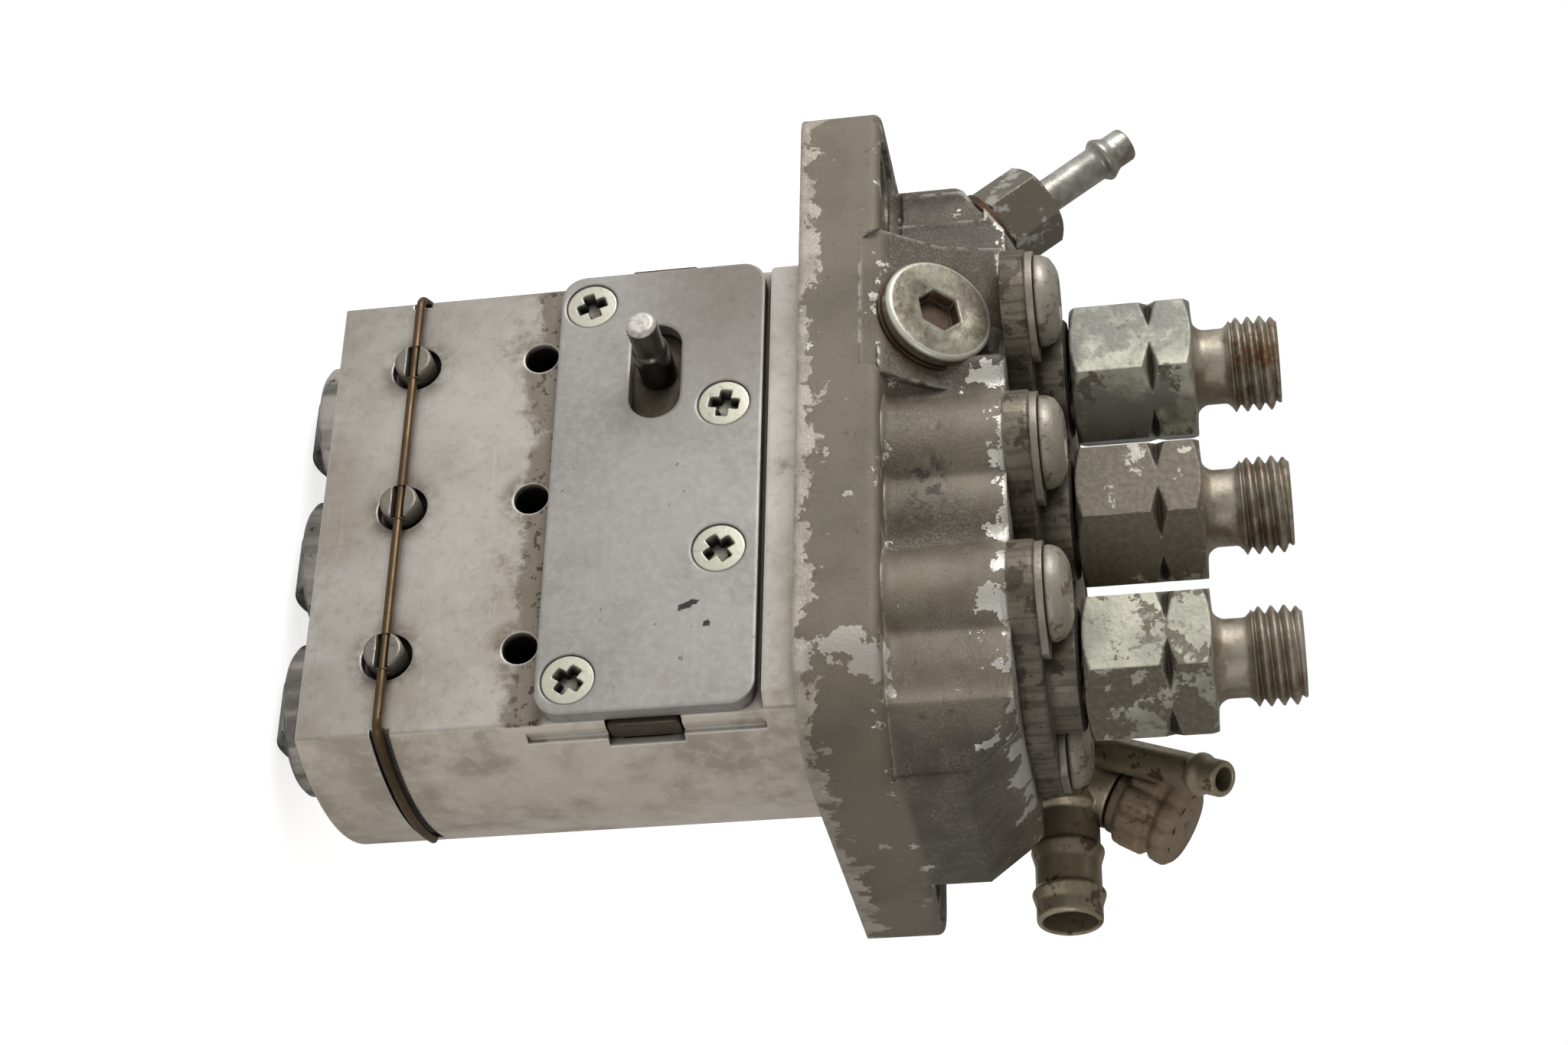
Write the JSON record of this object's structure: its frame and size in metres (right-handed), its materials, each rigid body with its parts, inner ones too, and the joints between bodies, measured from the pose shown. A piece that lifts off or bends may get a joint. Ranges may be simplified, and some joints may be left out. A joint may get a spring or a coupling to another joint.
{
  "type": "diesel injection pump",
  "caption": "In-line diesel injection pump: machined block with roller tappets, mounting flange, toothed control rack, plungers in screwed-down barrels and hexagonal delivery valve holders.",
  "frame": {"origin": "on the flange's underside, level with the middle cylinder and 27 mm behind its axis", "axes": "+Z along the plungers towards the injector pipe unions, +X along the cylinder row towards the inlet, -Y the side with the cover plate"},
  "size_m": [0.0989, 0.0656, 0.1262],
  "materials": {
    "block_alloy": "satin",
    "cover_steel": "satin",
    "zinc": "satin",
    "hard_steel": "polished",
    "worn_steel": "satin",
    "spring_steel": "satin",
    "bronze_wire": "satin",
    "holder_paint": "satin",
    "plate_steel": "matte",
    "rubber_ring": "matte",
    "copper_ring": "satin",
    "fitting": "satin",
    "rusty": "matte"
  },
  "bodies": {
    "housing": {"pump_body": "block_alloy", "cover_plate": "cover_steel", "cover_screws": "zinc", "guide_pins": "worn_steel", "lock_wire": "bronze_wire", "lock_plates": "plate_steel", "barrel_screws": "holder_paint", "barrel_o_rings": "rubber_ring", "gallery_plug": "zinc", "plug_washer": "copper_ring", "overflow_union": "holder_paint", "union_washer": "copper_ring", "inlet_union": "fitting", "inlet_washer": "copper_ring", "plunger_barrel_1": "holder_paint", "valve_holder_1": "holder_paint", "valve_seat_1": "hard_steel", "upper_spring_seat_1": "worn_steel", "valve_spring_1": "spring_steel", "plunger_spring_1": "spring_steel", "plunger_barrel_2": "holder_paint", "valve_holder_2": "holder_paint", "valve_seat_2": "hard_steel", "upper_spring_seat_2": "worn_steel", "valve_spring_2": "spring_steel", "plunger_spring_2": "spring_steel", "plunger_barrel_3": "holder_paint", "valve_holder_3": "holder_paint", "valve_seat_3": "hard_steel", "upper_spring_seat_3": "worn_steel", "valve_spring_3": "spring_steel", "plunger_spring_3": "spring_steel"},
    "rack": {"control_rack": "worn_steel", "rack_pin": "hard_steel"},
    "vent_screw": {"vent_knob": "rusty"},
    "tappet_set_1": {"tappet_1": "hard_steel", "roller_pin_1": "hard_steel", "lower_spring_seat_1": "worn_steel"},
    "roller_1": {"tappet_roller_1": "hard_steel"},
    "plunger_set_1": {"plunger_1": "hard_steel"},
    "sleeve_1": {"control_sleeve_1": "worn_steel"},
    "valve_1": {"delivery_valve_1": "hard_steel"},
    "tappet_set_2": {"tappet_2": "hard_steel", "roller_pin_2": "hard_steel", "lower_spring_seat_2": "worn_steel"},
    "roller_2": {"tappet_roller_2": "hard_steel"},
    "plunger_set_2": {"plunger_2": "hard_steel"},
    "sleeve_2": {"control_sleeve_2": "worn_steel"},
    "valve_2": {"delivery_valve_2": "hard_steel"},
    "tappet_set_3": {"tappet_3": "hard_steel", "roller_pin_3": "hard_steel", "lower_spring_seat_3": "worn_steel"},
    "roller_3": {"tappet_roller_3": "hard_steel"},
    "plunger_set_3": {"plunger_3": "hard_steel"},
    "sleeve_3": {"control_sleeve_3": "worn_steel"},
    "valve_3": {"delivery_valve_3": "hard_steel"}
  },
  "joints": [
    {"name": "rack_slide", "type": "slide", "parent": "housing", "child": "rack", "axis": [1, 0, 0], "range_m": [-0.0035, 0.0055]},
    {"name": "tappet_slide_1", "type": "slide", "parent": "housing", "child": "tappet_set_1", "axis": [0, 0, 1], "range_m": [0, 0.007], "stiffness_N_per_m": 9000, "springref_m": -0.004, "deforming": ["plunger_spring_1"]},
    {"name": "roller_spin_1", "type": "hinge", "parent": "tappet_set_1", "child": "roller_1", "pos_m": [-0.021, -0.027, -0.0615], "axis": [1, 0, 0], "continuous": true},
    {"name": "plunger_turn_1", "type": "hinge", "parent": "tappet_set_1", "child": "plunger_set_1", "pos_m": [-0.021, -0.027, -0.02], "axis": [0, 0, 1], "range_deg": [-22.84, 35.86]},
    {"name": "sleeve_turn_1", "type": "hinge", "parent": "housing", "child": "sleeve_1", "pos_m": [-0.021, -0.027, -0.022], "axis": [0, 0, 1], "range_deg": [-22.84, 35.86]},
    {"name": "valve_lift_1", "type": "slide", "parent": "housing", "child": "valve_1", "axis": [0, 0, 1], "range_m": [0, 0.0018], "stiffness_N_per_m": 2000, "springref_m": -0.003, "deforming": ["valve_spring_1"]},
    {"name": "tappet_slide_2", "type": "slide", "parent": "housing", "child": "tappet_set_2", "axis": [0, 0, 1], "range_m": [0, 0.007], "stiffness_N_per_m": 9000, "springref_m": -0.004, "deforming": ["plunger_spring_2"]},
    {"name": "roller_spin_2", "type": "hinge", "parent": "tappet_set_2", "child": "roller_2", "pos_m": [0, -0.027, -0.0615], "axis": [1, 0, 0], "continuous": true},
    {"name": "plunger_turn_2", "type": "hinge", "parent": "tappet_set_2", "child": "plunger_set_2", "pos_m": [0, -0.027, -0.02], "axis": [0, 0, 1], "range_deg": [-22.84, 35.86]},
    {"name": "sleeve_turn_2", "type": "hinge", "parent": "housing", "child": "sleeve_2", "pos_m": [0, -0.027, -0.022], "axis": [0, 0, 1], "range_deg": [-22.84, 35.86]},
    {"name": "valve_lift_2", "type": "slide", "parent": "housing", "child": "valve_2", "axis": [0, 0, 1], "range_m": [0, 0.0018], "stiffness_N_per_m": 2000, "springref_m": -0.003, "deforming": ["valve_spring_2"]},
    {"name": "tappet_slide_3", "type": "slide", "parent": "housing", "child": "tappet_set_3", "axis": [0, 0, 1], "range_m": [0, 0.007], "stiffness_N_per_m": 9000, "springref_m": -0.004, "deforming": ["plunger_spring_3"]},
    {"name": "roller_spin_3", "type": "hinge", "parent": "tappet_set_3", "child": "roller_3", "pos_m": [0.021, -0.027, -0.0615], "axis": [1, 0, 0], "continuous": true},
    {"name": "plunger_turn_3", "type": "hinge", "parent": "tappet_set_3", "child": "plunger_set_3", "pos_m": [0.021, -0.027, -0.02], "axis": [0, 0, 1], "range_deg": [-22.84, 35.86]},
    {"name": "sleeve_turn_3", "type": "hinge", "parent": "housing", "child": "sleeve_3", "pos_m": [0.021, -0.027, -0.022], "axis": [0, 0, 1], "range_deg": [-22.84, 35.86]},
    {"name": "valve_lift_3", "type": "slide", "parent": "housing", "child": "valve_3", "axis": [0, 0, 1], "range_m": [0, 0.0018], "stiffness_N_per_m": 2000, "springref_m": -0.003, "deforming": ["valve_spring_3"]},
    {"name": "vent_knob_turn", "type": "hinge", "parent": "housing", "child": "vent_screw", "pos_m": [0.0273, -0.0005, 0.0372], "axis": [0.515, 0, 0.8572], "range_deg": [-90, 360]}
  ],
  "couplings": [
    {"joint": "sleeve_turn_1", "follows": "rack_slide", "rad_per_m": 113.64},
    {"joint": "plunger_turn_1", "follows": "rack_slide", "rad_per_m": 113.64},
    {"joint": "sleeve_turn_2", "follows": "rack_slide", "rad_per_m": 113.64},
    {"joint": "plunger_turn_2", "follows": "rack_slide", "rad_per_m": 113.64},
    {"joint": "sleeve_turn_3", "follows": "rack_slide", "rad_per_m": 113.64},
    {"joint": "plunger_turn_3", "follows": "rack_slide", "rad_per_m": 113.64}
  ]
}
